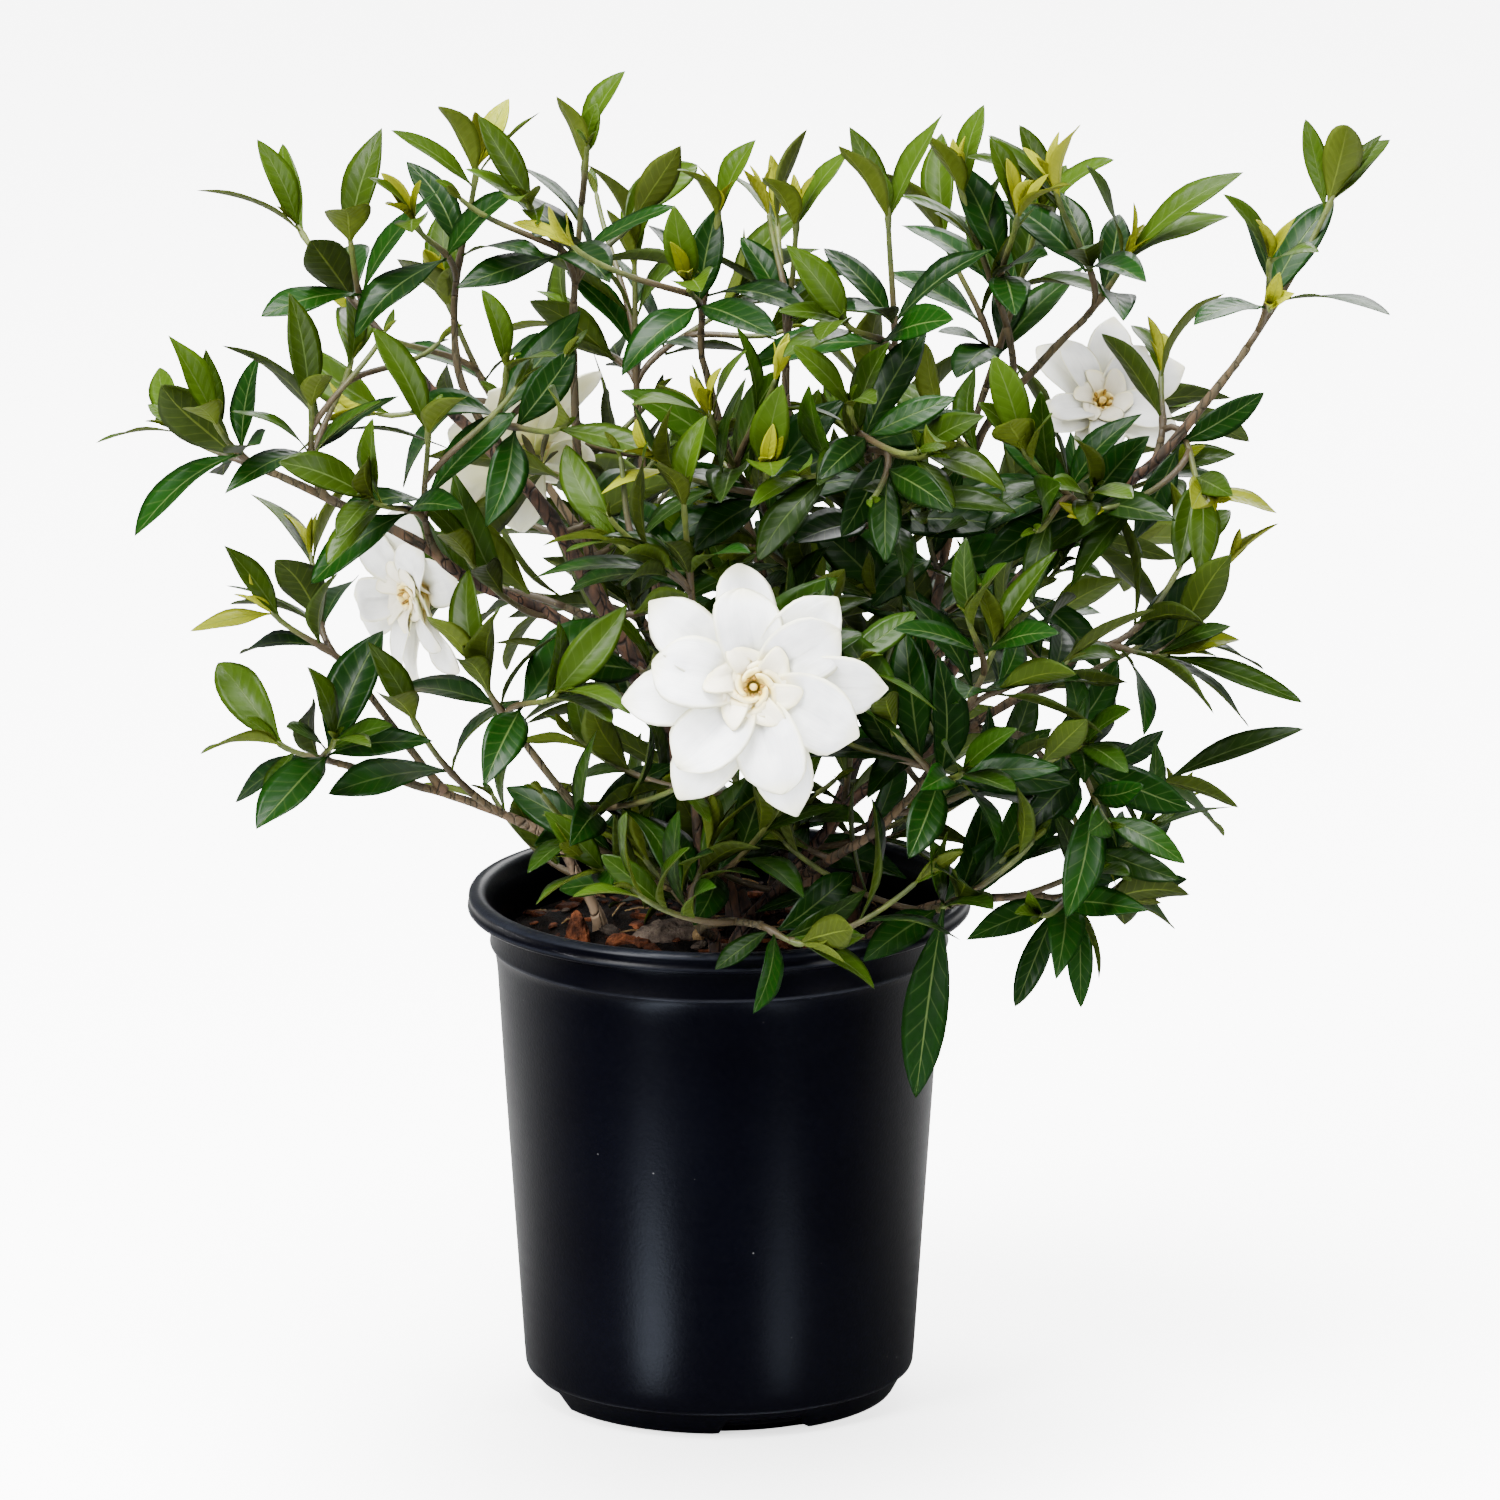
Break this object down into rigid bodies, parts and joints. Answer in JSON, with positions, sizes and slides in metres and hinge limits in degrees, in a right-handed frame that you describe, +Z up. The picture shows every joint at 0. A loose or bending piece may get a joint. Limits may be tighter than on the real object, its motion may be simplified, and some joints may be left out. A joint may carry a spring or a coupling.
{
  "type": "potted gardenia",
  "caption": "Leafy gardenia shrub with white double flowers, rooted in the soil of a tapered black nursery pot with a collared rim.",
  "frame": {"origin": "middle of the pot's flat base, on the surface it stands on", "axes": "+Z up along the pot's axis, -Y towards the front of the plant as seen in the picture, +X to the viewer's right"},
  "size_m": [0.5995, 0.3822, 0.6297],
  "materials": {
    "pot_plastic": "semi-gloss black moulded plastic, scuffed at the rim",
    "soil": "moist dark potting mix with bark chips",
    "bark": "rough reddish-brown bark",
    "leaf": "glossy dark green leaf with a pale midrib",
    "petal": "soft satin white petal with cream edges",
    "heart": "matt yellow anthers"
  },
  "bodies": {
    "root": {"pot": "pot_plastic", "soil": "soil", "wood_01": "bark", "wood_02": "bark", "wood_03": "bark", "wood_04": "bark", "wood_05": "bark", "wood_06": "bark", "wood_07": "bark", "wood_08": "bark", "wood_09": "bark", "bloom_1": "petal", "bloom_2": "petal", "bloom_3": "petal", "bloom_4": "petal", "heart_1": "heart", "heart_2": "heart", "heart_3": "heart", "heart_4": "heart", "shoot_01": "leaf", "shoot_02": "leaf", "shoot_03": "leaf", "shoot_04": "leaf", "shoot_05": "leaf", "shoot_06": "leaf", "shoot_07": "leaf", "shoot_08": "leaf", "shoot_09": "leaf", "shoot_10": "leaf", "shoot_11": "leaf", "shoot_12": "leaf", "shoot_13": "leaf", "shoot_14": "leaf", "shoot_15": "leaf", "shoot_16": "leaf", "shoot_17": "leaf", "shoot_18": "leaf", "shoot_19": "leaf", "shoot_20": "leaf", "shoot_21": "leaf", "shoot_22": "leaf", "shoot_23": "leaf", "shoot_24": "leaf", "shoot_25": "leaf", "shoot_26": "leaf", "shoot_27": "leaf", "shoot_28": "leaf", "shoot_29": "leaf", "shoot_30": "leaf", "shoot_31": "leaf", "shoot_32": "leaf", "shoot_33": "leaf", "shoot_34": "leaf", "shoot_35": "leaf", "shoot_36": "leaf", "shoot_37": "leaf", "shoot_38": "leaf", "shoot_39": "leaf", "shoot_40": "leaf", "shoot_41": "leaf"}
  },
  "joints": []
}
